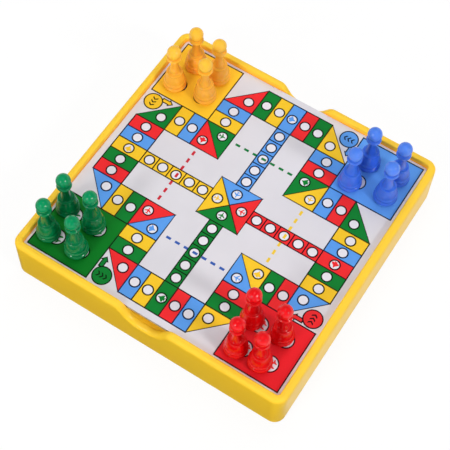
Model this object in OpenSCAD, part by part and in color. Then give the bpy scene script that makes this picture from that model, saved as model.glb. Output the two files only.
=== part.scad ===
// Boxed ludo game of the flight kind: a moulded yellow case whose rim frames a
// lift-out playing board, four sets of four pawns standing on it, and the die
// that is stored under the board.
// Origin: centre of the case's base. +X runs along the front edge, +Y to the
// back, +Z up. Millimetres.

/* [Case] */
// Width of the case, both ways
case_w = 160; // [140:1:220]
// Height of the case
case_h = 28; // [24:0.5:45]
// Outer corner radius of the case
corner_r = 6; // [5:0.5:14]
// Width of the rim around the board
rim_w = 4.2; // [3.6:0.1:4.8]
// Rounding of the rim's outer edge
rim_round = 2.5; // [1:0.1:2.6]
// Rounding of the rim's inner edge
rim_inner_round = 0.8; // [0.3:0.1:1]
// Rounding of the base's outer edge
base_round = 0.8; // [0.3:0.1:1.2]
// Thickness of the outer skirt
skirt_t = 1.8; // [1.5:0.1:2.4]
// Thickness of the storage tray's wall
tray_wall = 1.6; // [1.2:0.1:2.4]
// Thickness of the floor
floor_t = 1.8; // [1.2:0.1:3]
// Radius of the cove where the tray's wall meets the floor
cove_r = 2; // [1:0.1:3]
// Corner radius inside the storage tray
tray_corner_r = 4; // [3.2:0.1:8]
// Thickness of the stiffening ribs between skirt and tray
rib_t = 1.2; // [0.8:0.1:2]
// Number of stiffening ribs to each half of a side
ribs_per_half = 3; // [1:1:6]

/* [Board seat] */
// Height of the rim above the playing face
rim_rise = 3; // [2:0.1:5]
// Width of the ledge that carries the board
ledge_w = 3.2; // [2:0.1:6]
// Thickness of the ledge
ledge_t = 1.8; // [1.2:0.1:3]
// Gap between the board's edge and the rim
board_gap = 0.3; // [0.2:0.05:0.6]

/* [Finger notches] */
// Depth of a notch below the rim's crest
notch_depth = 9.8; // [8:0.1:11]
// Width of a notch's level bottom
notch_flat = 4.2; // [3.6:0.2:16]
// Radius of the shoulders at the top of a notch
shoulder_r = 5.4; // [5.1:0.1:7]
// Radius of the feet at the bottom of a notch
foot_r = 10; // [5:0.5:12]

/* [Board] */
// Thickness of the stiff board
board_t = 1.7; // [1.2:0.1:3]
// Thickness of the printed sheet on it
print_t = 0.3; // [0.2:0.05:0.5]
// Corner radius of the board
board_corner_r = 1.5; // [1:0.1:6]
// Clear space between the board's edge and the feet of the outermost pawns
pawn_margin = 1.25; // [0.5:0.05:6]

/* [Pawn] */
// Diameter of the foot
foot_d = 12.7; // [11:0.1:13]
// Height of the foot's lower bead
foot_h = 3.1; // [2.4:0.1:4]
// Diameter of the upper bead
bead_d = 12.1; // [10:0.1:12.6]
// Height of the upper bead
bead_h = 2.9; // [2:0.1:4]
// Diameter of the bell where it leaves the bead
bell_d = 11; // [9:0.1:11.5]
// Height of the bell
bell_h = 4.8; // [4:0.1:8]
// Diameter of the shoulder ring on the bell
ring_d = 9.1; // [8:0.1:10]
// Height of the shoulder ring
ring_h = 1.6; // [1:0.1:2.4]
// Diameter of the stem at the shoulder ring
stem_d = 6.4; // [5:0.1:7.5]
// Diameter of the neck under the collar
neck_d = 4.5; // [3.5:0.1:5.5]
// Height of the stem from the ring to the collar
stem_h = 10.6; // [8:0.1:14]
// Diameter of the collar
collar_d = 7.9; // [7:0.1:9]
// Height of the collar
collar_h = 1.9; // [1.2:0.1:2.4]
// Diameter of the head
head_d = 7.7; // [6.5:0.1:9]
// How far the head sinks into the collar
head_sink = 0.4; // [0.2:0.1:0.8]
// Wall of the hollow foot
pawn_wall = 1.9; // [1.5:0.1:2.4]

/* [Die] */
// Width of the die
die_w = 12; // [8:0.5:14]
// Radius of the ball that rounds off its corners, as a share of the width
die_ball = 0.71; // [0.68:0.01:0.8]
// Diameter of a pip
pip_d = 2.2; // [1.4:0.1:2.8]
// Depth of a pip
pip_depth = 0.4; // [0.2:0.1:0.6]
// Where the die lies on the floor, to the right of the middle
die_x = 22; // [-50:1:50]
// Where the die lies on the floor, behind the middle
die_y = -14; // [-50:1:50]
// How far the die is turned
die_turn = 24; // [0:1:90]

/* [Hidden] */
$fn = 64;
bite = 0.2;                                  // how far joined shapes run into each other

half = case_w / 2;
opening = half - rim_w;                      // half the width inside the rim
board_half = opening - board_gap;
play_z = case_h - rim_rise;                  // the playing face
sheet_z = play_z - print_t;
ledge_z = sheet_z - board_t;                 // the face the board rests on
tray_half = opening - ledge_w;               // outside of the tray's wall
well_half = tray_half - tray_wall;           // inside of the tray's wall
bar_t = rim_round + 0.9;                     // depth of the rim's bead below its crest
notch_z = case_h - notch_depth;              // level bottom of a notch
scoop_t = skirt_t;                           // lining of a notch behind the rim
lining_drop = rim_inner_round / 3;           // how far it lies below the rim's bead

// A notch's side goes: level bottom, foot arc, straight slope, shoulder arc, crest.
// The slope climbs 4 for every 3 across, so its ends fall on whole hundredths.
slope_sin = 4 / 5;
slope_cos = 3 / 5;
notch_slope = atan2(slope_sin, slope_cos);
spare = 2;                                   // arcs run on this far, in degrees, and are cut square
flat_half = notch_flat / 2;
turn_drop = (shoulder_r + foot_r) * (1 - slope_cos);
slope_len = (notch_depth - turn_drop) / slope_sin;
foot_end = [flat_half + foot_r * slope_sin, notch_z + foot_r * (1 - slope_cos)];
shoulder_start = foot_end + slope_len * [slope_cos, slope_sin];
notch_half = shoulder_start[0] + shoulder_r * slope_sin;
arc_steps = 8;

team_names = ["yellow", "blue", "red", "green"];
team_colours = ["#ffb52e", "#3a62e0", "#ec1226", "#0a9a5c"];
team_sides = [[-1, 1], [1, 1], [1, -1], [-1, -1]];
// Where each pawn stands, from the middle of its parking square: [across, back]
pawn_stands = [
    [[-9.4, -8.3], [-6.2, 8], [8.1, 8.4], [8.6, -6.1]],
    [[-10.6, -10.3], [-8.2, 5.4], [8.9, 5.9], [9, -7.4]],
    [[-12, 7.4], [4.7, 8.1], [-10.7, -9.5], [3, -9.4]],
    [[-12, -7.9], [-12.1, 8.8], [4.5, 8], [5.3, -8]]];
stand_reach = max([for (team = pawn_stands, stand = team, offset = stand) abs(offset)]);
park_x = board_half - pawn_margin - foot_d / 2 - stand_reach; // middles of the parking squares

bell_z = foot_h + bead_h;
ring_z = bell_z + bell_h;
stem_z = ring_z + ring_h;
collar_z = stem_z + stem_h;
head_z = collar_z + collar_h - head_sink + head_d / 2;
hollow_h = ring_z - 1;

// ---------------------------------------------------------------- helpers

// Square of half width h with rounded corners, centred.
module round_square(h, r) {
    square([2 * h, 2 * (h - r)], center = true);
    square([2 * (h - r), 2 * h], center = true);
    for (sx = [-1, 1], sy = [-1, 1])
        translate([sx * (h - r), sy * (h - r)]) circle(r);
}

// Closed frame between two rounded squares, from height z0 to z1.
module ring_wall(h_out, r_out, h_in, r_in, z0, z1) {
    translate([0, 0, z0]) linear_extrude(z1 - z0) difference() {
        round_square(h_out, r_out);
        round_square(h_in, r_in);
    }
}

// Carries a section round the whole square frame of half width h and corner
// radius r. The section's x is the distance inward from the outside, its y is
// the height.
module frame_sweep(h, r) {
    for (side = [0:3]) rotate(90 * side) {
        translate([h - r, h - r, 0]) rotate_extrude(angle = 90)
            translate([r, 0]) mirror([1, 0]) children();
        side_run(h, r - h, h - r) children();
    }
}

// The same section, drawn straight along +X from x0 to x1 on the front side.
module side_run(h, x0, x1) {
    translate([x0, -h, 0]) rotate([90, 0, 90]) linear_extrude(x1 - x0) children();
}

// ---------------------------------------------------------------- case

// Section of the rim's bead: crest at height 0, rounded outside and inside.
module bead_section() {
    inner_edge = rim_w - rim_inner_round;
    intersection() {
        union() {
            translate([rim_round, -rim_round]) circle(rim_round);
            translate([inner_edge, -rim_inner_round]) circle(rim_inner_round);
            translate([0, -bar_t]) square([rim_w, bar_t - rim_round]);
            translate([rim_round, -bar_t]) square([inner_edge - rim_round, bar_t]);
            translate([rim_round, -bar_t]) square([rim_w - rim_round, bar_t - rim_inner_round]);
        }
        translate([0, -bar_t]) square([rim_w, bar_t]);
    }
}

// Section of the solid head below the bead, down to the ledge's underside.
module head_section() {
    translate([0, ledge_z - ledge_t])
        square([rim_w, case_h - bar_t / 2 - rim_round / 2 - ledge_z + ledge_t]);
}

// Section of the skirt, with its base edge rounded.
module skirt_section() {
    translate([0, base_round]) square([skirt_t, ledge_z - base_round]);
    translate([base_round, 0]) square([skirt_t - base_round, base_round + bite]);
    translate([base_round, base_round]) circle(base_round);
}

// Carries a section along a notch's surface, from crest to crest: shoulder arc,
// slope, foot arc and level bottom. Section x is inward, y is the height. Arcs
// and slope are drawn in the slope's own frame and cut off square at both ends.
module notch_path() {
    translate([-flat_half, -half, notch_z]) rotate([90, 0, 90]) linear_extrude(notch_flat) children();
    for (side = [0, 1]) mirror([side, 0, 0]) intersection() {
        translate([foot_end[0], -half, foot_end[1]]) rotate([0, -notch_slope, 0]) {
            translate([0, 0, foot_r]) rotate([-90, 0, 0]) rotate(90)
                rotate_extrude(angle = notch_slope + spare) translate([foot_r, 0]) rotate(90) children();
            rotate([90, 0, 90]) linear_extrude(slope_len) children();
            translate([slope_len, 0, -shoulder_r]) rotate([-90, 0, 0]) rotate(270)
                rotate_extrude(angle = notch_slope + spare) translate([shoulder_r, 0]) rotate(-90)
                mirror([1, 0]) children();
        }
        translate([flat_half, -half - 1, 0]) cube([notch_half - flat_half, half, 2 * case_h]);
    }
}

// Outline of the space above a notch's surface, d below that surface, in X and Z.
function notch_edge(d) = concat(
    [for (i = [0:arc_steps]) let (a = notch_slope * i / arc_steps)
        [flat_half + (foot_r + d) * sin(a), notch_z + foot_r - (foot_r + d) * cos(a)]],
    [for (i = [0:arc_steps]) let (a = notch_slope * (1 - i / arc_steps))
        [notch_half - (shoulder_r - d) * sin(a), case_h - shoulder_r + (shoulder_r - d) * cos(a)]]);

module notch_space(d) {
    edge = notch_edge(d);
    left = [for (i = [len(edge) - 1:-1:0]) [-edge[i][0], edge[i][1]]];
    polygon(concat(left, edge, [[notch_half, case_h + 1], [-notch_half, case_h + 1]]));
}

// A notch's space as a solid, from outside the wall to depth y_in behind it.
module notch_cut(d, y_in) {
    translate([0, -half + y_in, 0]) rotate([90, 0, 0]) linear_extrude(y_in + 1) notch_space(d);
}

// The front wall's notch: the rim's bead, and the lining that carries on from it
// under the board's edge to the tray's wall.
module notch_lining() {
    lining_x = rim_w - rim_inner_round;
    notch_path() bead_section();
    intersection() {
        notch_path() translate([lining_x, -lining_drop - scoop_t])
            square([half - tray_half + bite - lining_x, scoop_t]);
        translate([-half, -half, 0]) cube([2 * half, half - tray_half + 1, ledge_z]);
    }
}

module rib(x) {
    translate([x - rib_t / 2, -half + skirt_t - bite, base_round])
        cube([rib_t, half - skirt_t - tray_half + 2 * bite, ledge_z - ledge_t - base_round + bite]);
}

module case_shell() {
    frame_sweep(half, corner_r) head_section();
    frame_sweep(half, corner_r) skirt_section();
    ring_wall(opening + bite, corner_r - rim_w + bite, well_half, tray_corner_r, ledge_z - ledge_t, ledge_z);
    ring_wall(tray_half, tray_corner_r + tray_wall, well_half, tray_corner_r, 0, ledge_z);
    rib_pitch = (half - corner_r - notch_half) / ribs_per_half;
    for (side = [0:3], way = [-1, 1], i = [0:ribs_per_half - 1])
        rotate(90 * side) rib(way * (notch_half + rib_pitch * (i + 0.5)));
}

module case() {
    color("#fbcb2d") {
        difference() {
            case_shell();
            for (turn = [0, 180]) rotate(turn) notch_cut(bar_t / 2, half - tray_half);
        }
        for (turn = [0, 180]) rotate(turn) {
            notch_lining();
            side_run(half, notch_half, half - corner_r) translate([0, case_h]) bead_section();
            side_run(half, corner_r - half, -notch_half) translate([0, case_h]) bead_section();
        }
        for (turn = [90, 270]) rotate(turn)
            side_run(half, corner_r - half, half - corner_r) translate([0, case_h]) bead_section();
        for (side = [0:3]) rotate(90 * side) translate([half - corner_r, half - corner_r, case_h])
            rotate_extrude(angle = 90) translate([corner_r, 0]) mirror([1, 0]) bead_section();
        linear_extrude(floor_t) round_square(well_half + bite, tray_corner_r + bite);
        translate([0, 0, floor_t - bite]) frame_sweep(well_half + bite, tray_corner_r + bite) difference() {
            square(cove_r + bite);
            translate([cove_r + bite, cove_r + bite]) circle(cove_r);
        }
    }
}

// ---------------------------------------------------------------- board

module board_panel() {
    color("#b9a489") translate([0, 0, ledge_z])
        linear_extrude(board_t) round_square(board_half, board_corner_r);
}

module board_print() {
    color("#e2dfe6") translate([0, 0, sheet_z])
        linear_extrude(print_t) round_square(board_half, board_corner_r);
}

// ---------------------------------------------------------------- pawn

// Bead of the given outer radius and height, with a full round edge.
module round_slab(r, h) {
    square([r - h / 2, h]);
    translate([r - h / 2, h / 2]) circle(h / 2);
}

// Points from [r0, z0] to [r1, z1] that bulge by the given share of the chord,
// outward where it is positive.
function bowed(r0, z0, r1, z1, bulge, n = 8) =
    [for (i = [0:n]) let (t = i / n, b = 4 * bulge * t * (1 - t))
        [r0 + (r1 - r0) * t + b * (z1 - z0), z0 + (z1 - z0) * t - b * (r1 - r0)]];

module pawn_solid() {
    rotate_extrude($fn = 96) difference() {
        union() {
            round_slab(foot_d / 2, foot_h);
            translate([0, foot_h - bite]) round_slab(bead_d / 2, bead_h + bite);
            polygon(concat([[0, bell_z - bite], [bell_d / 2, bell_z - bite]],
                bowed(bell_d / 2, bell_z, ring_d / 2 - ring_h / 4, ring_z + bite, 0.07), [[0, ring_z + bite]]));
            translate([0, ring_z]) round_slab(ring_d / 2, ring_h);
            polygon(concat([[0, stem_z - bite], [stem_d / 2, stem_z - bite]],
                bowed(stem_d / 2, stem_z, neck_d / 2, collar_z + bite, -0.05), [[0, collar_z + bite]]));
            translate([0, collar_z]) round_slab(collar_d / 2, collar_h);
            translate([0, head_z]) intersection() {
                circle(head_d / 2);
                translate([0, -head_d / 2]) square([head_d / 2, head_d]);
            }
        }
        polygon(concat([[0, -1], [foot_d / 2 - pawn_wall, -1]],
            bowed(foot_d / 2 - pawn_wall, 0, ring_d / 2 - pawn_wall, hollow_h - 1, 0.07),
            [[ring_d / 2 - pawn_wall - 1, hollow_h], [0, hollow_h]]));
    }
}

module pawn(team, number) {
    stand = pawn_stands[team][number - 1];
    color(team_colours[team])
        translate([team_sides[team][0] * park_x + stand[0], team_sides[team][1] * park_x + stand[1], play_z])
        pawn_solid();
}

// ---------------------------------------------------------------- die

// Places of n pips on a face, in units of the pip spacing.
function pip_spots(n) = concat(
    n % 2 == 1 ? [[0, 0]] : [],
    n > 1 ? [[-1, -1], [1, 1]] : [],
    n > 3 ? [[-1, 1], [1, -1]] : [],
    n == 6 ? [[-1, 0], [1, 0]] : []);

// Turns that bring the top face to each side; opposite faces add up to seven.
face_turns = [[0, 0, 0], [0, 90, 0], [90, 0, 0], [-90, 0, 0], [0, -90, 0], [180, 0, 0]];

module die() {
    pip_pitch = die_w * 0.26;
    ball = (pip_d * pip_d / 4 + pip_depth * pip_depth) / (2 * pip_depth);
    color("#f4f2ec") translate([die_x, die_y, floor_t + die_w / 2]) rotate(die_turn) difference() {
        intersection() {
            cube(die_w, center = true);
            sphere(die_w * die_ball, $fn = 96);
        }
        for (face = [0:5]) rotate(face_turns[face]) for (spot = pip_spots(face + 1))
            translate([spot[0] * pip_pitch, spot[1] * pip_pitch, die_w / 2 - pip_depth + ball])
                sphere(ball, $fn = 48);
    }
}

case();
board_panel();
board_print();
die();
for (team = [0:3], number = [1:4])
    pawn(team, number);
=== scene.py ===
# Boxed ludo board game: the looks of the case, the printed board, the pawns and the die.
# The frame's origin is the middle of the case's base: +X runs right along the front edge,
# +Y to the back and +Z up. Sizes are in millimetres, apart from the lamps', and are turned
# into metres where a mesh or a node takes them.
import bpy
import math
import numpy as np
from mathutils import Matrix, Vector


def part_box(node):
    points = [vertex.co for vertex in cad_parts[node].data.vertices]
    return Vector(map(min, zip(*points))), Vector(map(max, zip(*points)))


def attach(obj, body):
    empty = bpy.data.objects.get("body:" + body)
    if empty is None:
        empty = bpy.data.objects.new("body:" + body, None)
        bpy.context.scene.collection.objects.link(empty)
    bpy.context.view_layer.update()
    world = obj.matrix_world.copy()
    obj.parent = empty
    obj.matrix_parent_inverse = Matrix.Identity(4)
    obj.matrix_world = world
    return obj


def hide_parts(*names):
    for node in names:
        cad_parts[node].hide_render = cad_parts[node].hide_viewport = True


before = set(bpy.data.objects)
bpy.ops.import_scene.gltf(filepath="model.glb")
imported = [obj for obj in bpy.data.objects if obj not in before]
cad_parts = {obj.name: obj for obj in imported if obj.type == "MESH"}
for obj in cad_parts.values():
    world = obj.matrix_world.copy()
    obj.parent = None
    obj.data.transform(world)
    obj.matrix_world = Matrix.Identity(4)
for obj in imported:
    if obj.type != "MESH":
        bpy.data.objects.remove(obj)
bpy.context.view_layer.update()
mm = 0.001
usualNoise = (0.3, 0.7)  # most of a noise lies between these values


def toLinear(hexColour):
    # sRGB to linear light: ((c + 0.055) / 1.055) ^ 2.4 above the toe, c / 12.92 below it
    values = [int(hexColour[i:i + 2], 16) / 255 for i in (1, 3, 5)]
    return [((c + 0.055) / 1.055) ** 2.4 if c > 0.04045 else c / 12.92 for c in values] + [1.0]


def shade(hexColour, factor):
    # the colour in linear light times factor, and no brighter than 1
    return [min(1.0, c * factor) for c in toLinear(hexColour)[:3]] + [1.0]


def addNode(tree, kind, sockets=None, stops=(), **settings):
    # adds one shader node with its settings; a socket takes a link where its value is an output
    # and a constant otherwise, and stops are a colour ramp's (position, colour) pairs
    node = tree.nodes.new(kind)
    for name, value in settings.items():
        setattr(node, name, value)
    for key, value in (sockets or {}).items():
        if isinstance(value, bpy.types.NodeSocket):
            tree.links.new(value, node.inputs[key])
        else:
            node.inputs[key].default_value = value
    for index, (position, colour) in enumerate(stops):
        node.color_ramp.elements[index].position = position
        node.color_ramp.elements[index].color = colour
    return node


def newMaterial(name):
    # an empty material and its node tree
    material = bpy.data.materials.new(name)
    material.use_nodes = True
    material.node_tree.nodes.clear()
    return material, material.node_tree


def blotches(tree, size, detail=3, roughness=0.5, stretch=(1, 1, 1)):
    # an uneven pattern in object space, whose blotches are about size millimetres across;
    # stretch squeezes them by its factor along each axis
    place = addNode(tree, "ShaderNodeTexCoord").outputs["Object"]
    if stretch != (1, 1, 1):
        place = addNode(tree, "ShaderNodeMapping", {0: place, "Scale": stretch}).outputs[0]
    noise = addNode(tree, "ShaderNodeTexNoise", {
        "Vector": place, "Scale": 1 / (size * mm), "Detail": detail, "Roughness": roughness})
    return noise.outputs["Fac"]


def newPiece(name, vertices, faces, material, body, replaced=(), smooth=False):
    # makes a mesh piece from millimetres and lets it ride on a body
    mesh = bpy.data.meshes.new(name)
    mesh.from_pydata((np.asarray(vertices, float) * mm).tolist(), [], faces)
    mesh.update()
    if smooth:
        mesh.polygons.foreach_set("use_smooth", [True] * len(mesh.polygons))
    mesh.materials.append(material)
    piece = bpy.data.objects.new(name, mesh)
    bpy.context.scene.collection.objects.link(piece)
    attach(piece, body)
    if replaced:
        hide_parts(*replaced)


def revolve(profile, segments):
    # turns a profile about the axis: a point (radius, height) becomes the ring (radius cos t,
    # radius sin t, height); the first and last points lie on the axis and close the form
    profile = np.asarray(profile, float)
    rings = profile[1:-1]
    turn = np.arange(segments) * 2 * math.pi / segments
    grid = np.stack([rings[:, :1] * np.cos(turn), rings[:, :1] * np.sin(turn),
                     np.repeat(rings[:, 1:], segments, 1)], -1).reshape(-1, 3)
    poles = [[0, 0, profile[0, 1]], [0, 0, profile[-1, 1]]]
    count = len(rings)
    row = np.arange(count * segments).reshape(count, segments)
    nextColumn = np.roll(row, -1, 1)
    quads = np.stack([row[:-1], row[1:], nextColumn[1:], nextColumn[:-1]], -1).reshape(-1, 4)
    first, last = count * segments, count * segments + 1
    topFan = np.stack([np.full(segments, first), row[0], nextColumn[0]], -1)
    endFan = np.stack([np.full(segments, last), nextColumn[-1], row[-1]], -1)
    return np.vstack([grid, poles]), quads.tolist() + topFan.tolist() + endFan.tolist()


def makeCamera():
    # looks at a point on the playing face from a distance, above and to the right of the front,
    # turned a little about the view line; angles are in degrees, and the clip is in metres
    view = {"target": (4.35, -11.04, 25.0), "distance": 632.1, "azimuth": 30.12,
            "elevation": 61.63, "roll": 2.715, "lens": 99.11, "sensor": 36.0, "clip": (0.05, 20.0)}
    azimuth, elevation = math.radians(view["azimuth"]), math.radians(view["elevation"])
    back = Vector((math.sin(azimuth) * math.cos(elevation),
                   -math.cos(azimuth) * math.cos(elevation), math.sin(elevation)))
    level = Vector((math.cos(azimuth), math.sin(azimuth), 0))
    roll = math.radians(view["roll"])
    up = back.cross(level)
    right = level * math.cos(roll) + up * math.sin(roll)
    up = back.cross(right)
    place = (Vector(view["target"]) + back * view["distance"]) * mm
    data = bpy.data.cameras.new("camera")
    data.lens, data.sensor_width = view["lens"], view["sensor"]
    data.clip_start, data.clip_end = view["clip"]
    camera = bpy.data.objects.new("camera", data)
    bpy.context.scene.collection.objects.link(camera)
    turn = Matrix((right, up, back)).transposed().to_4x4()
    camera.matrix_world = Matrix.Translation(place) @ turn
    bpy.context.scene.camera = camera


def makeStage():
    # pale floor: nearly white to the camera, where only the object's shade dims it, and partly
    # white to gloss. A patch in front of the case is painted dark to all but the camera: painted
    # shade, as where the studio's table falls away from the light, for the case to reflect
    stage = {"size": 8000, "pale": "#dcdcdc", "paintedShade": "#2c2c2a", "near": -68, "nearSoft": 16,
             "far": -200, "beside": 110, "soft": 30, "whiteShare": 0.9, "glossShare": 0.48}
    material, tree = newMaterial("pale studio floor")
    rays = addNode(tree, "ShaderNodeLightPath")
    camera, glossy = rays.outputs["Is Camera Ray"], rays.outputs["Is Glossy Ray"]
    place = addNode(tree, "ShaderNodeTexCoord").outputs["Object"]
    place = addNode(tree, "ShaderNodeSeparateXYZ", {0: place})
    # the patch is the product of three soft steps, each 1 in the patch and 0 outside it
    steps = [("Y", stage["near"] - stage["nearSoft"], stage["near"], 1.0, 0.0),
             ("Y", stage["far"] - stage["soft"], stage["far"] + stage["soft"], 0.0, 1.0),
             ("X", stage["beside"], stage["beside"] + stage["soft"], 1.0, 0.0)]
    patch = 1.0
    for axis, start, end, first, last in steps:
        step = addNode(tree, "ShaderNodeMapRange", {
            0: place.outputs[axis], 1: start * mm, 2: end * mm, 3: first, 4: last})
        patch = addNode(tree, "ShaderNodeMath", {0: patch, 1: step.outputs[0]},
                        operation="MULTIPLY").outputs[0]
    # painted shade: in the patch, all rays but the camera's see the dark colour, and gloss sees no white
    others = addNode(tree, "ShaderNodeMath", {0: 1.0, 1: camera}, operation="SUBTRACT")
    paintedShade = addNode(tree, "ShaderNodeMath", {0: patch, 1: others.outputs[0]}, operation="MULTIPLY")
    colour = addNode(tree, "ShaderNodeValToRGB", {0: paintedShade.outputs[0]},
                     stops=((0.0, toLinear(stage["pale"])), (1.0, toLinear(stage["paintedShade"]))))
    gloss = addNode(tree, "ShaderNodeMath", {0: glossy, 1: stage["glossShare"]}, operation="MULTIPLY")
    lit = addNode(tree, "ShaderNodeMath", {0: gloss.outputs[0], 1: paintedShade.outputs[0]},
                  operation="SUBTRACT", use_clamp=True)
    share = addNode(tree, "ShaderNodeMath", {0: camera, 1: stage["whiteShare"], 2: lit.outputs[0]},
                    operation="MULTIPLY_ADD")
    shown = addNode(tree, "ShaderNodeMix", {0: camera, 6: colour.outputs[0], 7: (1, 1, 1, 1)},
                    data_type="RGBA")
    matt = addNode(tree, "ShaderNodeBsdfDiffuse", {"Color": shown.outputs[2]})
    white = addNode(tree, "ShaderNodeEmission", {"Color": (1, 1, 1, 1), "Strength": 1.0})
    mixed = addNode(tree, "ShaderNodeMixShader", {
        0: share.outputs[0], 1: matt.outputs[0], 2: white.outputs[0]})
    addNode(tree, "ShaderNodeOutputMaterial", {0: mixed.outputs[0]})
    half = stage["size"] * mm / 2
    corners = [(-half, -half, 0), (half, -half, 0), (half, half, 0), (-half, half, 0)]
    mesh = bpy.data.meshes.new("floor")
    mesh.from_pydata(corners, [], [(0, 1, 2, 3)])
    mesh.materials.append(material)
    floor = bpy.data.objects.new("floor", mesh)
    bpy.context.scene.collection.objects.link(floor)


def makeLights():
    # distances and sizes are in metres. level is how bright a white card that faces the lamp
    # looks, so watts = level * pi^2 * distance^2. The small spots' directions are where they show
    # on the pawns' heads; the wide fills soften the shadows and are hidden from gloss, so that
    # they leave no patch on the ink or the rim
    lamps = {"right spot": {"toward": (0.80, -0.10, 0.60), "distance": 2.2, "size": 0.38, "level": 0.32},
             "front spot": {"toward": (-0.17, -0.78, 0.60), "distance": 2.2, "size": 0.38, "level": 0.20},
             "top spot": {"toward": (-0.10, 0.14, 0.985), "distance": 2.4, "size": 0.45, "level": 0.06},
             "right fill": {"toward": (0.90, -0.15, 0.40), "distance": 2.0, "size": 1.00, "level": 0.08},
             "left fill": {"toward": (-0.90, 0.10, 0.42), "distance": 2.0, "size": 1.00, "level": 0.16},
             "front fill": {"toward": (-0.10, -0.97, 0.17), "distance": 2.0, "size": 0.60, "level": 0.38},
             "overhead fill": {"toward": (0.0, 0.58, 0.81), "distance": 1.8, "size": 1.50, "level": 0.36}}
    for name, lamp in lamps.items():
        data = bpy.data.lights.new(name + " soft box", "AREA")
        data.shape, data.size = "SQUARE", lamp["size"]
        data.energy = lamp["level"] * (math.pi * lamp["distance"]) ** 2
        box = bpy.data.objects.new(name + " soft box", data)
        bpy.context.scene.collection.objects.link(box)
        direction = Vector(lamp["toward"]).normalized()
        box.location = direction * lamp["distance"]
        box.rotation_euler = direction.to_track_quat("Z", "Y").to_euler()
        box.visible_glossy = "fill" not in name


def makeWorld():
    # an even pale light. Gloss sees the studio's pale walls low down and its darker ceiling above
    # them, by the view direction's height, and the camera sees plain white
    studio = {"even": 0.30, "wallTop": 0.15, "wall": 0.5, "ceilingFoot": 0.6, "ceiling": 0.12}
    world = bpy.data.worlds.new("studio")
    world.use_nodes = True
    tree = world.node_tree
    tree.nodes.clear()
    rays = addNode(tree, "ShaderNodeLightPath")
    direction = addNode(tree, "ShaderNodeTexCoord").outputs["Generated"]
    height = addNode(tree, "ShaderNodeSeparateXYZ", {0: direction})
    room = addNode(tree, "ShaderNodeMapRange", {
        0: height.outputs["Z"], 1: studio["wallTop"], 2: studio["ceilingFoot"],
        3: studio["wall"], 4: studio["ceiling"]})
    strength = addNode(tree, "ShaderNodeMix", {
        0: rays.outputs["Is Glossy Ray"], 2: studio["even"], 3: room.outputs[0]})
    even = addNode(tree, "ShaderNodeBackground", {0: (1, 1, 1, 1), 1: strength.outputs[0]})
    white = addNode(tree, "ShaderNodeBackground", {0: (1, 1, 1, 1), 1: 1.0})
    seen = addNode(tree, "ShaderNodeMath", {
        0: rays.outputs["Is Camera Ray"], 1: rays.outputs["Is Transmission Ray"]}, operation="MAXIMUM")
    mixed = addNode(tree, "ShaderNodeMixShader", {
        0: seen.outputs[0], 1: even.outputs[0], 2: white.outputs[0]})
    addNode(tree, "ShaderNodeOutputWorld", {0: mixed.outputs[0]})
    bpy.context.scene.world = world
    bpy.context.scene.view_settings.view_transform = "Standard"


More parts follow.
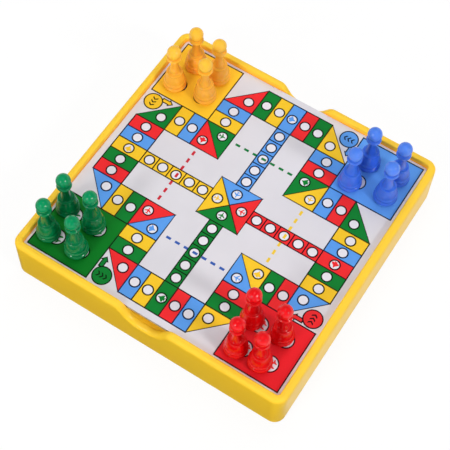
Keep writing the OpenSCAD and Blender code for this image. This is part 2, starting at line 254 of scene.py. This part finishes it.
def casePlastic():
    # injection-moulded polypropylene, warm yellow and half glossy: a faint orange-peel skin breaks
    # up the gloss. The rim's inner edge, down beside the paper, is painted a deeper orange and
    # emits a weak light: painted shade and painted light, for light gone through the plastic
    look = {"colour": "#ffd032", "cloudy": "#ffcd30", "cloud": 30.0, "deep": "#ffad2a", "paintedGlow": 0.3,
            "edgeFrom": 75.6, "edgeTo": 76.8, "bandAt": 25.0, "bandFrom": 0.6, "bandTo": 1.8,
            "wallTop": 20.0, "rimFoot": 25.0, "wallRough": 0.30, "rimRough": 0.52,
            "patch": 9.0, "patchRough": 0.04, "peel": 1.1, "peelDepth": 0.01, "peelShare": 0.04}
    material, tree = newMaterial("yellow moulded polypropylene")
    colour = addNode(tree, "ShaderNodeValToRGB", {0: blotches(tree, look["cloud"], 2)},
                     stops=zip(usualNoise, (toLinear(look["cloudy"]), toLinear(look["colour"]))))
    place = addNode(tree, "ShaderNodeTexCoord").outputs["Object"]
    place = addNode(tree, "ShaderNodeSeparateXYZ", {0: place})
    # where painted shade and painted light go: 1 within the rim's inner edge, on a band about the paper's
    # height
    sides = [addNode(tree, "ShaderNodeMath", {0: place.outputs[axis]}, operation="ABSOLUTE")
             for axis in ("X", "Y")]
    across = addNode(tree, "ShaderNodeMath", {0: sides[0].outputs[0], 1: sides[1].outputs[0]},
                     operation="MAXIMUM")
    inside = addNode(tree, "ShaderNodeMapRange", {
        0: across.outputs[0], 1: look["edgeFrom"] * mm, 2: look["edgeTo"] * mm, 3: 1.0, 4: 0.0})
    height = addNode(tree, "ShaderNodeMath", {0: place.outputs["Z"], 1: look["bandAt"] * mm},
                     operation="SUBTRACT")
    height = addNode(tree, "ShaderNodeMath", {0: height.outputs[0]}, operation="ABSOLUTE")
    band = addNode(tree, "ShaderNodeMapRange", {
        0: height.outputs[0], 1: look["bandFrom"] * mm, 2: look["bandTo"] * mm, 3: 1.0, 4: 0.0})
    share = addNode(tree, "ShaderNodeMath", {0: inside.outputs[0], 1: band.outputs[0]},
                    operation="MULTIPLY")
    # painted shade and painted light: the mask mixes in the deeper orange and makes it shine weakly
    mixed = addNode(tree, "ShaderNodeMix", {
        0: share.outputs[0], 6: colour.outputs[0], 7: toLinear(look["deep"])}, data_type="RGBA")
    paintedGlow = addNode(tree, "ShaderNodeMath", {0: share.outputs[0], 1: look["paintedGlow"]}, operation="MULTIPLY")
    bump = addNode(tree, "ShaderNodeBump", {
        "Strength": look["peelShare"], "Distance": look["peelDepth"] * mm,
        "Height": blotches(tree, look["peel"], 2)})
    # the walls are smoother than the rim, which is handled and worn
    worn = addNode(tree, "ShaderNodeMapRange", {
        0: place.outputs["Z"], 1: look["wallTop"] * mm, 2: look["rimFoot"] * mm,
        3: look["wallRough"], 4: look["rimRough"]})
    patches = addNode(tree, "ShaderNodeMapRange", {
        0: blotches(tree, look["patch"]), 3: -look["patchRough"], 4: look["patchRough"]})
    rough = addNode(tree, "ShaderNodeMath", {0: worn.outputs[0], 1: patches.outputs[0]}, operation="ADD")
    shader = addNode(tree, "ShaderNodeBsdfPrincipled", {
        "Base Color": mixed.outputs[2], "Roughness": rough.outputs[0], "Normal": bump.outputs[0],
        "IOR": 1.49, "Specular IOR Level": 0.4,
        "Emission Color": toLinear(look["deep"]), "Emission Strength": paintedGlow.outputs[0]})
    addNode(tree, "ShaderNodeOutputMaterial", {0: shader.outputs[0]})
    return material


def boardCore():
    # grey-brown pressed board: short pale and dark fibres, dull and slightly rough to the light.
    # A fibre is half a millimetre long and a sixth of that wide, coarser than real pulp, to show
    look = {"pale": "#c0b199", "dark": "#8d7f6b", "fibre": 0.5, "squeeze": (1, 6, 1), "cloud": 12.0,
            "span": (0.12, 0.42), "fibreDepth": 0.05, "fibreShare": 0.5}
    material, tree = newMaterial("grey pressed board")
    fibre = blotches(tree, look["fibre"], 4, 0.7, look["squeeze"])
    mixed = addNode(tree, "ShaderNodeMath", {0: fibre, 1: blotches(tree, look["cloud"])},
                    operation="MULTIPLY")
    colour = addNode(tree, "ShaderNodeValToRGB", {0: mixed.outputs[0]},
                     stops=zip(look["span"], (toLinear(look["dark"]), toLinear(look["pale"]))))
    bump = addNode(tree, "ShaderNodeBump", {
        "Strength": look["fibreShare"], "Distance": look["fibreDepth"] * mm, "Height": fibre})
    shader = addNode(tree, "ShaderNodeBsdfPrincipled", {
        "Base Color": colour.outputs[0], "Roughness": 0.85, "Normal": bump.outputs[0]})
    addNode(tree, "ShaderNodeOutputMaterial", {0: shader.outputs[0]})
    return material


def coatedPaper():
    # machine-coated paper, pale lavender grey: a fine tooth, drawn coarser than the real one so
    # that it shows, and a soft sheen
    look = {"colour": "#dddae0", "cloudy": "#d8d5db", "cloud": 25.0,
            "tooth": 0.25, "toothDepth": 0.01, "toothShare": 0.15}
    material, tree = newMaterial("coated paper")
    colour = addNode(tree, "ShaderNodeValToRGB", {0: blotches(tree, look["cloud"])},
                     stops=zip(usualNoise, (toLinear(look["cloudy"]), toLinear(look["colour"]))))
    bump = addNode(tree, "ShaderNodeBump", {
        "Strength": look["toothShare"], "Distance": look["toothDepth"] * mm,
        "Height": blotches(tree, look["tooth"])})
    shader = addNode(tree, "ShaderNodeBsdfPrincipled", {
        "Base Color": colour.outputs[0], "Roughness": 0.5, "Normal": bump.outputs[0],
        "Specular IOR Level": 0.15})
    addNode(tree, "ShaderNodeOutputMaterial", {0: shader.outputs[0]})
    return material


# the four printing inks in the order in which the cells repeat them; squares are the parking
# squares, which are printed a little deeper or brighter than the cells
inkNames = ["green", "red", "blue", "yellow"]
inkColours = {
    "cells": {"green": "#0a8030", "red": "#ee2b2f", "blue": "#5b9ce9", "yellow": "#f5c62b"},
    "squares": {"green": "#067a22", "red": "#e8202a", "blue": "#5c9cec", "yellow": "#ffca30"},
    "outlines": {"green": "#06240e", "red": "#360a14", "blue": "#0c1e44", "yellow": "#33280a"},
    "dashes": {"green": "#0f7a3a", "red": "#c8283a", "blue": "#345cae", "yellow": "#ecc63c"}}
inkTitles = {"cells": "{} printing ink", "squares": "{} printing ink, parking square",
             "outlines": "dark outline ink by {}", "dashes": "{} dash ink"}


def printedInk(name, hexColour):
    # offset ink on coated paper: solid, with a faint mottle where the paper takes less of it, and
    # the paper's tooth under it
    look = {"mottle": 0.6, "mottleSpan": (0.25, 0.75), "thin": 0.97, "full": 1.04,
            "tooth": 0.25, "toothDepth": 0.01, "toothShare": 0.12}
    material, tree = newMaterial(name)
    shades = (shade(hexColour, look["thin"]), shade(hexColour, look["full"]))
    colour = addNode(tree, "ShaderNodeValToRGB", {0: blotches(tree, look["mottle"], 3, 0.6)},
                     stops=zip(look["mottleSpan"], shades))
    bump = addNode(tree, "ShaderNodeBump", {
        "Strength": look["toothShare"], "Distance": look["toothDepth"] * mm,
        "Height": blotches(tree, look["tooth"])})
    shader = addNode(tree, "ShaderNodeBsdfPrincipled", {
        "Base Color": colour.outputs[0], "Roughness": 0.5, "Normal": bump.outputs[0],
        "Specular IOR Level": 0.1})
    addNode(tree, "ShaderNodeOutputMaterial", {0: shader.outputs[0]})
    return material


# each team's plastic: paler in the head as painted light, and deeper at the foot as painted shade
pawnColours = {"green": ("#00945c", "#007a44"), "red": ("#ea0e16", "#dc060b"),
               "blue": ("#5286ea", "#3a6ee0"), "yellow": ("#ffc43c", "#ffb43c")}


def pawnPlastic(name, paintedLitHeadColour, paintedShadedFootColour):
    # moulded styrene that light soaks into: painted paler in the head, as painted light where it
    # enters, and deeper towards the foot, as painted shade, with faint swirls along the flow; a
    # small sharp gloss lies over it
    look = {"shadedBelow": 45.0, "litAbove": 54.0, "swirl": 3.0, "flow": (1, 1, 0.4), "swirlShift": 0.12,
            "ripple": 1.6, "rippleDepth": 0.02, "rippleShare": 0.06, "soak": 1.0, "soakShare": 0.35}
    material, tree = newMaterial(name)
    place = addNode(tree, "ShaderNodeTexCoord").outputs["Object"]
    place = addNode(tree, "ShaderNodeSeparateXYZ", {0: place})
    # painted light and shade: the colour runs by height from the foot's painted shade to the head's painted
    # light
    height = addNode(tree, "ShaderNodeMapRange", {
        0: place.outputs["Z"], 1: look["shadedBelow"] * mm, 2: look["litAbove"] * mm})
    swirl = addNode(tree, "ShaderNodeMapRange", {
        0: blotches(tree, look["swirl"], 2, stretch=look["flow"]), 1: usualNoise[0], 2: usualNoise[1],
        3: -look["swirlShift"], 4: look["swirlShift"]})
    height = addNode(tree, "ShaderNodeMath", {0: height.outputs[0], 1: swirl.outputs[0]}, operation="ADD")
    colour = addNode(tree, "ShaderNodeValToRGB", {0: height.outputs[0]},
                     stops=((0.0, toLinear(paintedShadedFootColour)), (1.0, toLinear(paintedLitHeadColour))))
    bump = addNode(tree, "ShaderNodeBump", {
        "Strength": look["rippleShare"], "Distance": look["rippleDepth"] * mm,
        "Height": blotches(tree, look["ripple"], 2)})
    # light goes furthest in the plastic's own colour
    depth = [0.15 + 0.85 * c for c in toLinear(paintedLitHeadColour)[:3]]
    shader = addNode(tree, "ShaderNodeBsdfPrincipled", {
        "Base Color": colour.outputs[0], "Roughness": 0.04, "Normal": bump.outputs[0], "IOR": 1.58,
        "Specular IOR Level": 0.42, "Subsurface Weight": look["soakShare"],
        "Subsurface Scale": look["soak"] * mm, "Subsurface Radius": depth})
    addNode(tree, "ShaderNodeOutputMaterial", {0: shader.outputs[0]})
    return material


def diePlastic():
    # polished ivory-white plastic: light soaks in a little, which makes it look milky
    look = {"colour": "#f7f5ee", "cloudy": "#efece2", "cloud": 4.0,
            "ripple": 1.0, "rippleDepth": 0.02, "rippleShare": 0.08, "soak": 1.0}
    material, tree = newMaterial("polished ivory plastic")
    colour = addNode(tree, "ShaderNodeValToRGB", {0: blotches(tree, look["cloud"], 2)},
                     stops=zip(usualNoise, (toLinear(look["cloudy"]), toLinear(look["colour"]))))
    bump = addNode(tree, "ShaderNodeBump", {
        "Strength": look["rippleShare"], "Distance": look["rippleDepth"] * mm,
        "Height": blotches(tree, look["ripple"], 2)})
    shader = addNode(tree, "ShaderNodeBsdfPrincipled", {
        "Base Color": colour.outputs[0], "Roughness": 0.18, "Normal": bump.outputs[0],
        "Subsurface Weight": 0.4, "Subsurface Radius": (1.0, 0.8, 0.6), "Subsurface Scale": look["soak"] * mm})
    addNode(tree, "ShaderNodeOutputMaterial", {0: shader.outputs[0]})
    return material


def circleLoop(x, y, radius, count=56):
    # count points (x + radius cos t, y + radius sin t)
    turn = np.arange(count) * 2 * math.pi / count
    return np.stack([x + radius * np.cos(turn), y + radius * np.sin(turn)], -1)


def rectangle(left, low, right, high):
    # an upright rectangle's corners
    return [(left, low), (right, low), (right, high), (left, high)]


def turned(points, quarters):
    # points turned about the board's middle by whole quarters
    cosine, sine = [(1, 0), (0, 1), (-1, 0), (0, -1)][quarters % 4]
    x, y = np.asarray(points, float).T
    return np.stack([cosine * x - sine * y, sine * x + cosine * y], -1)


def placedShape(shape, x, y, degrees):
    # a shape about the origin, turned by degrees and moved to x, y
    cosine, sine = math.cos(math.radians(degrees)), math.sin(math.radians(degrees))
    across, along = shape[:, 0], shape[:, 1]
    return np.stack([x + cosine * across - sine * along, y + sine * across + cosine * along], -1)


def counterClockwise(points):
    # the outline in the order that makes its signed area, half the sum of x y' - x' y, positive
    points = np.asarray(points, float)
    x, y = points[:, 0], points[:, 1]
    area = np.sum(x * np.roll(y, -1) - np.roll(x, -1) * y)
    return points if area > 0 else points[::-1]


def grown(points, distance):
    # moves each edge of an outline outward by distance: a corner goes along the sum m of its two
    # edges' normals by 2 distance / m^2, with a cap on that factor at sharp corners
    longestMitre = 2.2
    points = counterClockwise(points)
    before, after = points - np.roll(points, 1, 0), np.roll(points, -1, 0) - points
    normalBefore = np.stack([before[:, 1], -before[:, 0]], -1) / np.linalg.norm(before, axis=1)[:, None]
    normalAfter = np.stack([after[:, 1], -after[:, 0]], -1) / np.linalg.norm(after, axis=1)[:, None]
    middle = normalBefore + normalAfter
    reach = np.minimum(2 / np.sum(middle * middle, 1), longestMitre)
    return points + middle * reach[:, None] * distance


class InkLayer:
    # collects closed flat slabs of one ink, which become one piece of the print
    def __init__(self):
        self.vertices, self.faces, self.count = [], [], 0

    def addSlab(self, loop, low, high):
        # a filled outline from height low to high
        loop = counterClockwise(loop)
        size = len(loop)
        self.vertices += [np.hstack([loop, np.full((size, 1), z)]) for z in (high, low)]
        top = np.arange(size) + self.count
        under = top + size
        self.faces += [top.tolist(), under[::-1].tolist()]
        self.faces += np.stack([np.roll(top, -1), top, under, np.roll(under, -1)], -1).tolist()
        self.count += 2 * size

    def addRing(self, outer, inner, low, high):
        # the band between two outlines that have the same number of points: four rings of points,
        # each joined to the next by a ring of quads
        outer, inner = counterClockwise(outer), counterClockwise(inner)
        size = len(outer)
        rings = ((outer, high), (inner, high), (inner, low), (outer, low))
        self.vertices += [np.hstack([loop, np.full((size, 1), z)]) for loop, z in rings]
        rows = [np.arange(size) + self.count + size * ring for ring in range(4)]
        for row, after in zip(rows, rows[1:] + rows[:1]):
            self.faces += np.stack([row, np.roll(row, -1), np.roll(after, -1), after], -1).tolist()
        self.count += 4 * size

    def make(self, name, material):
        newPiece(name, np.vstack(self.vertices), self.faces, material, "board")


# the print's sizes, measured from the board's middle, for the quarter that has its arm on the left
track = {
    "outer": 71.66, "inner": 53.82, "armHalf": 20.01, "cross": 37.75,  # the arm's end and its corner
    "rowEdges": (11.93, 4.03), "tipGap": 0.02, "endSpot": (-59.4, 25.4), "cornerSpot": (-33.15, -25.45),
    "columnHalf": 3.88, "columnEdges": (45.51, 37.09, 28.82, 20.60), "centreHalf": 12.43,
    "centreSpot": (-7.35, 0.0),
    "stroke": 0.66, "spotDark": 3.1, "spotPale": 2.36, "jet": 2.0,
    "parkOuter": 73.83, "parkSpot": 4.65, "parkRing": 0.68, "parkOffset": 7.4, "parkJet": 3.3,
    "startAt": (-68.7, 31.7), "startSpot": 5.3, "chevronPitch": 2.1,
    "arrowTip": (-58.9, 35.3), "arrowLong": 6.0, "arrowHead": 2.0, "arrowHeadHalf": 1.8,
    "arrowHalf": 1.1, "arrowInset": 0.3,
    "dashAt": -32.96, "dashPitch": 5.34, "dashWide": 1.4, "dashLong": 2.8, "dashShift": (0.35, 0.1)}
paperTop = 24.90
# how high the inks lie, and how deep all of them reach into the paper; a hair apart, so that
# whichever lies on top shows cleanly
levels = {"dash": 24.905, "fill": 24.91, "arrow": 24.912, "stroke": 24.918,
          "spotDark": 24.94, "spotPale": 24.95, "mark": 24.96}
inkDepth = 24.88
strokeSteps = {"ink": 0.004, "kind": 0.001}


def strokeTop(name, kind=0):
    # outlines that cross are kept apart in height too: by ink, and by the kind of cell
    return levels["stroke"] + strokeSteps["ink"] * inkNames.index(name) + strokeSteps["kind"] * kind


def jetShape(size, wing):
    # a generic aeroplane from above, nose along +X: half its outline and the mirrored half
    halves = {"slim": [(1.0, 0.0), (0.84, 0.12), (0.34, 0.15), (-0.2, 0.92), (-0.46, 0.92),
                       (-0.16, 0.16), (-0.6, 0.13), (-0.82, 0.42), (-1.0, 0.42), (-0.88, 0.0)],
              "broad": [(1.0, 0.0), (0.7, 0.16), (0.4, 0.26), (-0.25, 0.98), (-0.6, 0.98),
                        (-0.62, 0.34), (-0.76, 0.34), (-0.95, 0.5), (-1.05, 0.5), (-0.92, 0.0)]}
    half = np.array(halves[wing])
    mirrored = half[-2:0:-1] * [1, -1]
    return np.vstack([half, mirrored]) * size


def quarterCells():
    # one quarter of the track, from the triangle beside the parking square at the back left, down
    # the left edge and in to the next arm: (outline, spot centre, aeroplane, its heading)
    outer, inner, arm, cross = track["outer"], track["inner"], track["armHalf"], track["cross"]
    halfWay = (inner + cross) / 2
    wide, narrow = track["rowEdges"]
    edges = [arm, wide, narrow, -narrow, -wide, -arm]
    endX, endY = track["endSpot"]
    cornerX, cornerY = track["cornerSpot"]
    tip = (track["tipGap"] - arm, track["tipGap"] - arm)

    def squareCell(outline, mark=None, heading=0):
        return outline, np.mean(outline, 0), mark, heading

    cells = [([(-inner, arm), (-outer, arm), (-inner, cross)], (endX, endY), None, 0)]
    for row, (high, low) in enumerate(zip(edges[:-1], edges[1:])):
        cells.append(squareCell(rectangle(-outer, low, -inner, high), "broad" if row == 2 else None, 90))
    cells.append(([(-inner, -arm), (-outer, -arm), (-inner, -cross)], (endX, -endY), None, 0))
    cells.append(squareCell(rectangle(-inner, -cross, -halfWay, -arm)))
    cells.append(squareCell(rectangle(-halfWay, -cross, -cross, -arm)))
    cells.append(([(-cross, -arm), (-cross, -cross), tip], (cornerX, cornerY), "slim", 90))
    cells.append(([(-cross, -cross), (-arm, -cross), tip], (cornerY, cornerX), "broad", 0))
    cells.append(squareCell(rectangle(-cross, -halfWay, -arm, -cross)))
    cells.append(squareCell(rectangle(-cross, -inner, -arm, -halfWay)))
    return cells


def layOutline(layers, name, outline, kind=0):
    # a dark line of the stroke's width along an outline
    half = track["stroke"] / 2
    layers["outlines"][name].addRing(grown(outline, half), grown(outline, -half), inkDepth,
                                     strokeTop(name, kind))


def laySpot(layers, name, centre, radius, paleRadius):
    # a dark disc with a white one on it, which leaves a dark ring
    layers["outlines"][name].addSlab(circleLoop(*centre, radius), inkDepth, levels["spotDark"])
    layers["spots"]["white"].addSlab(circleLoop(*centre, paleRadius), inkDepth, levels["spotPale"])


def layCell(layers, name, outline, spot, mark=None, heading=0, kind=0):
    # one cell: its fill, its outline and a ringed spot, which may hold an aeroplane
    layers["cells"][name].addSlab(outline, inkDepth, levels["fill"])
    layOutline(layers, name, outline, kind)
    laySpot(layers, name, spot, track["spotDark"], track["spotPale"])
    if mark:
        shape = placedShape(jetShape(track["jet"], mark), *spot, heading)
        layers["cells"][name].addSlab(shape, inkDepth, levels["mark"])


def layHome(layers, name, quarter):
    # the team's home column and its triangle of the middle
    half, centre = track["columnHalf"], track["centreHalf"]
    edges = [track["inner"], *track["columnEdges"], centre]
    for step, (far, near) in enumerate(zip(edges[:-1], edges[1:])):
        outline = turned(rectangle(-far, -half, -near, half), quarter)
        layCell(layers, name, outline, outline.mean(0), kind=1 + step % 2)
    triangle = turned([(-centre, -centre), (0, 0), (-centre, centre)], quarter)
    spot = turned([track["centreSpot"]], quarter)[0]
    layCell(layers, name, triangle, spot, "slim", 90 * quarter, kind=3)


def layParking(layers, name, quarter):
    # the parking square, with an aeroplane on each of its four ringed spots
    outer, cross, offset = track["parkOuter"], track["cross"], track["parkOffset"]
    square = turned(rectangle(-outer, cross, -cross, outer), quarter)
    layers["squares"][name].addSlab(square, inkDepth, levels["fill"])
    layOutline(layers, name, square, kind=3)
    middle = (outer + cross) / 2
    for sideX, sideY in ((-1, -1), (-1, 1), (1, -1), (1, 1)):
        spot = turned([(-middle + sideX * offset, middle + sideY * offset)], quarter)[0]
        laySpot(layers, name, spot, track["parkSpot"], track["parkSpot"] - track["parkRing"])
        shape = placedShape(jetShape(track["parkJet"], "slim"), *spot, 45 + 90 * quarter)
        layers["squares"][name].addSlab(shape, inkDepth, levels["mark"])


def layStart(layers, name, quarter):
    # the start spot with three chevrons in it, and beside it an arrow towards the track
    startX, startY = track["startAt"]
    start = turned([track["startAt"]], quarter)[0]
    radius = track["startSpot"]
    layers["outlines"][name].addSlab(circleLoop(*start, radius), inkDepth, levels["spotDark"])
    layers["cells"][name].addSlab(circleLoop(*start, radius - track["stroke"]), inkDepth, levels["spotPale"])
    end, head, wide, half = (track[size] for size in ("arrowLong", "arrowHead", "arrowHeadHalf", "arrowHalf"))
    arrow = np.array([(0, 0), (-head, wide), (-head, half), (-end, half),
                      (-end, -half), (-head, -half), (-head, -wide)])
    arrow = turned(arrow + track["arrowTip"], quarter)
    layers["cells"][name].addSlab(arrow, inkDepth, levels["arrow"])
    layers["outlines"][name].addRing(grown(arrow, track["stroke"] / 2), grown(arrow, -track["arrowInset"]),
                                     inkDepth, strokeTop(name))
    chevron = np.array([(1.0, 0), (-0.1, 1.5), (-1.0, 1.5), (0.1, 0), (-1.0, -1.5), (-0.1, -1.5)])
    for step in (-1, 0, 1):
        shape = placedShape(chevron, startX, startY + step * track["chevronPitch"], -90)
        layers["outlines"][name].addSlab(turned(shape, quarter), inkDepth, levels["mark"])


def layFlight(layers, name, quarter):
    # the dashed flight line across the quarter's home column; its middle dash lies over a spot
    left, right = (track["dashAt"] + side * track["dashWide"] / 2 for side in (-1, 1))
    for step in range(-3, 4):
        low, high = (step * track["dashPitch"] + side * track["dashLong"] / 2 for side in (-1, 1))
        dash = turned(rectangle(left, low, right, high), quarter) + track["dashShift"]
        layers["dashes"][name].addSlab(dash, inkDepth, levels["mark"] if step == 0 else levels["dash"])


def makePrint(materials):
    # lays the print ink by ink. The track's quarter is repeated four times and its colours run on
    # over the 52 cells; the rest is turned from the left arm
    layers = {kind: {name: InkLayer() for name in inkNames} for kind in inkColours}
    layers["spots"] = {"white": InkLayer()}
    cells = [(quarter, cell) for quarter in range(4) for cell in quarterCells()]
    for index, (quarter, (outline, spot, mark, heading)) in enumerate(cells):
        layCell(layers, inkNames[index % 4], turned(outline, quarter), turned([spot], quarter)[0],
                mark, heading + 90 * quarter)
    teams = [("yellow", "red"), ("green", "blue"), ("red", "yellow"), ("blue", "green")]
    for quarter, (team, flight) in enumerate(teams):
        layHome(layers, team, quarter)
        layParking(layers, team, quarter)
        layStart(layers, team, quarter)
        layFlight(layers, flight, quarter)
    for name in inkNames:
        for kind in inkColours:
            layers[kind][name].make("print_" + kind + "_" + name, materials[kind + " " + name])
    layers["spots"]["white"].make("print_white_spots", materials["paper white"])


def makePaper(material):
    # the sheet itself: rounded squares, stacked so that the top and bottom edges are softened;
    # each is a quarter arc of radius corner - inset, turned into the four corners
    sheet = {"corner": 1.5, "soft": 0.06, "arcPoints": 8}
    low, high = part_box("board_print")
    bottom, soft = low.z / mm, sheet["soft"]
    turn = np.linspace(0, math.pi / 2, sheet["arcPoints"])
    arc = np.stack([np.cos(turn), np.sin(turn)], -1)
    size = 4 * sheet["arcPoints"]
    levelsUp = [(soft, bottom), (0, bottom + soft), (0, paperTop - soft), (soft, paperTop)]
    rings = []
    for inset, z in levelsUp:
        corner = arc * (sheet["corner"] - inset) + (high.x / mm - sheet["corner"])
        ring = np.vstack([turned(corner, quarter) for quarter in range(4)])
        rings.append(np.hstack([ring, np.full((size, 1), z)]))
    row = np.arange(len(rings) * size).reshape(len(rings), size)
    side = np.roll(row, -1, 1)
    faces = np.stack([row[:-1], side[:-1], side[1:], row[1:]], -1).reshape(-1, 4).tolist()
    faces += [row[0][::-1].tolist(), row[-1].tolist()]
    newPiece("printed_sheet", np.vstack(rings), faces, material, "board", ["board_print"])


# a pawn's turned forms from the foot up, as diameters and heights; lap is how far one form runs
# into the next, bow is how far a taper swells or narrows, as a share of its height
pawn = {"foot": 12.7, "footHigh": 3.1, "bead": 12.1, "beadHigh": 2.9, "bell": 11.0, "bellHigh": 4.8,
        "bellBow": 0.07, "ring": 9.1, "ringHigh": 1.6, "stem": 6.4, "neck": 4.5, "stemHigh": 10.6,
        "stemBow": -0.05, "collar": 7.9, "collarHigh": 1.9, "head": 7.7, "sink": 0.4, "lap": 0.2,
        "segments": 72}
# the hollow in its foot: the wall's thickness, the roof under the ring, the radius at the top of
# the flare and the power of its curve, and the rounded roof as (radius, share of the height)
hollow = {"wall": 1.9, "roof": 1.0, "top": 2.9, "power": 1.4, "from": 0.15, "to": 0.86, "points": 6,
          "lip": [(0.25, 0.0), (0.05, 0.1), (0.0, 0.3)], "dome": [(2.2, 0.95), (1.2, 1.0), (0.0, 1.0)]}


def slabRadius(z, low, height, radius):
    # radius at height z of a disc with a full round edge, which is a half circle; 0 outside it
    t = (z - low - height / 2) / (height / 2)
    edge = height / 2 * np.sqrt(np.clip(1 - t * t, 0, 1))
    return np.where(np.abs(t) <= 1, radius - height / 2 + edge, 0)


def bowedRadius(z, low, high, lowRadius, highRadius, bow):
    # a straight taper plus four bow t (1 - t) times its height; 0 outside it
    t = (z - low) / (high - low)
    radius = lowRadius + (highRadius - lowRadius) * t + 4 * bow * t * (1 - t) * (high - low)
    return np.where((t >= 0) & (t <= 1), radius, 0)


def pawnProfile():
    # outline from the head's top down the outside, under the foot and up into the hollow; at each
    # height the outside is the widest of the turned forms
    lap = pawn["lap"]
    bell = pawn["footHigh"] + pawn["beadHigh"]
    ring = bell + pawn["bellHigh"]
    stem = ring + pawn["ringHigh"]
    collar = stem + pawn["stemHigh"]
    collarTop = collar + pawn["collarHigh"]
    head = collarTop - pawn["sink"] + pawn["head"] / 2
    top = head + pawn["head"] / 2

    def formsAt(z):
        # radius of every turned form at each height
        return np.array([
            slabRadius(z, 0, pawn["footHigh"], pawn["foot"] / 2),
            slabRadius(z, pawn["footHigh"] - lap, pawn["beadHigh"] + lap, pawn["bead"] / 2),
            bowedRadius(z, bell - 2 * lap, ring + lap, pawn["bell"] / 2,
                        pawn["ring"] / 2 - pawn["ringHigh"] / 4, pawn["bellBow"]),
            slabRadius(z, ring, pawn["ringHigh"], pawn["ring"] / 2),
            bowedRadius(z, stem - 2 * lap, collar + 2 * lap, pawn["stem"] / 2, pawn["neck"] / 2,
                        pawn["stemBow"]),
            slabRadius(z, collar, pawn["collarHigh"], pawn["collar"] / 2),
            np.sqrt(np.clip((pawn["head"] / 2) ** 2 - (z - head) ** 2, 0, None))])

    # heights of the rings, closer together towards each form's ends: (from, to, rings)
    spans = [(0, pawn["footHigh"], 12), (pawn["footHigh"], bell, 11), (bell, ring, 9),
             (ring, stem, 10), (stem, collar, 14), (collar, collarTop, 10), (collarTop, top, 20)]
    z = np.unique(np.round(np.concatenate(
        [low + (high - low) * (1 - np.cos(np.linspace(0, math.pi, rings))) / 2
         for low, high, rings in spans]), 4))
    # a ring each side of every crease keeps the creases between the turned forms crisp
    crease = {"samples": 6000, "clear": 0.1, "under": 0.04, "over": 0.03}
    fine = np.linspace(0, top, crease["samples"])
    creases = fine[1:][np.diff(formsAt(fine).argmax(0)) != 0]
    creases = creases[(creases > crease["clear"]) & (creases < top - crease["clear"])]
    z = np.unique(np.round(np.concatenate([z, creases - crease["under"], creases + crease["over"]]), 4))
    outside = np.stack([formsAt(z).max(0), z], -1)[::-1]
    outside[0] = (0, top)
    mouth = pawn["foot"] / 2 - hollow["wall"]
    roof = ring - hollow["roof"]
    inside = [(mouth + out, up) for out, up in hollow["lip"]]
    inside += [(mouth - (mouth - hollow["top"]) * t ** hollow["power"], roof * t)
               for t in np.linspace(hollow["from"], hollow["to"], hollow["points"])]
    inside += [(radius, roof * share) for radius, share in hollow["dome"]]
    return np.vstack([outside, inside])


def makePawns(materials):
    # one turned form, set on the middle of each pawn's foot
    vertices, faces = revolve(pawnProfile(), pawn["segments"])
    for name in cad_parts:
        if name.startswith("pawn_"):
            low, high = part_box(name)
            middle = (low + high) / 2 / mm
            team = name.split("_")[1]
            placed = vertices + [middle.x, middle.y, low.z / mm]
            newPiece(name + "_plastic", placed, faces, materials["pawn " + team], name, [name],
                     smooth=True)


def makePips(material):
    # a thin lens of ink in each of the die's 21 dimples. A dimple is the cap of a ball of radius
    # (width^2 / 4 + depth^2) / (2 depth); the lens is the part of the shell between two such
    # balls, over and under the dimple's face, that fills most of its width
    die = {"width": 12.0, "turn": 24, "pip": 2.2, "deep": 0.4, "pitch": 0.26}
    lens = {"share": 0.94, "over": 0.035, "under": 0.03, "arcPoints": 5, "segments": 24}
    low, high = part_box("die")
    centre = np.array((low + high) / 2) / mm
    ball = (die["pip"] ** 2 / 4 + die["deep"] ** 2) / (2 * die["deep"])
    angles = np.linspace(0, math.asin(lens["share"] * die["pip"] / 2 / ball), lens["arcPoints"])
    arc = np.stack([np.sin(angles), -np.cos(angles)], -1)
    profile = np.vstack([(ball - lens["over"]) * arc, (ball + lens["under"]) * arc[::-1]])
    points, lensFaces = revolve(profile, lens["segments"])
    points[:, 2] += die["width"] / 2 - die["deep"] + ball
    # the pips of each face, and how the top face is turned, in degrees, to become it
    spots = {1: [(0, 0)], 2: [(-1, -1), (1, 1)]}
    spots[3] = spots[1] + spots[2]
    spots[4] = spots[2] + [(-1, 1), (1, -1)]
    spots[5] = spots[1] + spots[4]
    spots[6] = spots[4] + [(-1, 0), (1, 0)]
    turns = {1: (0, 0), 2: (0, 90), 3: (90, 0), 4: (-90, 0), 5: (0, -90), 6: (180, 0)}
    spin = np.array(Matrix.Rotation(math.radians(die["turn"]), 3, "Z"))
    pitch = die["pitch"] * die["width"]
    vertices, faces, count = [], [], 0
    for number, (aboutX, aboutY) in turns.items():
        tilt = np.array(Matrix.Rotation(math.radians(aboutY), 3, "Y")
                        @ Matrix.Rotation(math.radians(aboutX), 3, "X"))
        for across, along in spots[number]:
            vertices.append((points + [across * pitch, along * pitch, 0]) @ tilt.T @ spin.T + centre)
            faces += [[corner + count for corner in face] for face in lensFaces]
            count += len(points)
    newPiece("die_pips", np.vstack(vertices), faces, material, "die", smooth=True)


makeCamera()
makeStage()
makeLights()
makeWorld()
print("stage ready")
materials = {"case": casePlastic(), "core": boardCore(), "paper": coatedPaper(), "die": diePlastic(),
             "paper white": printedInk("unprinted white paper", "#e4e1e8"),
             "pips": printedInk("red-black pip ink", "#2a2226")}
for ink in inkNames:
    for kind, title in inkTitles.items():
        materials[kind + " " + ink] = printedInk(title.format(ink), inkColours[kind][ink])
for team, (paintedLitHeadColour, paintedShadedFootColour) in pawnColours.items():
    materials["pawn " + team] = pawnPlastic(team + " styrene", paintedLitHeadColour, paintedShadedFootColour)
for node, finish in (("case", "case"), ("board_panel", "core"), ("die", "die")):
    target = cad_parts[node]
    target.data.materials.clear()
    target.data.materials.append(materials[finish])
print("materials ready")
makePaper(materials["paper"])
makePrint(materials)
print("print ready")
makePawns(materials)
makePips(materials["pips"])
print("pieces ready")
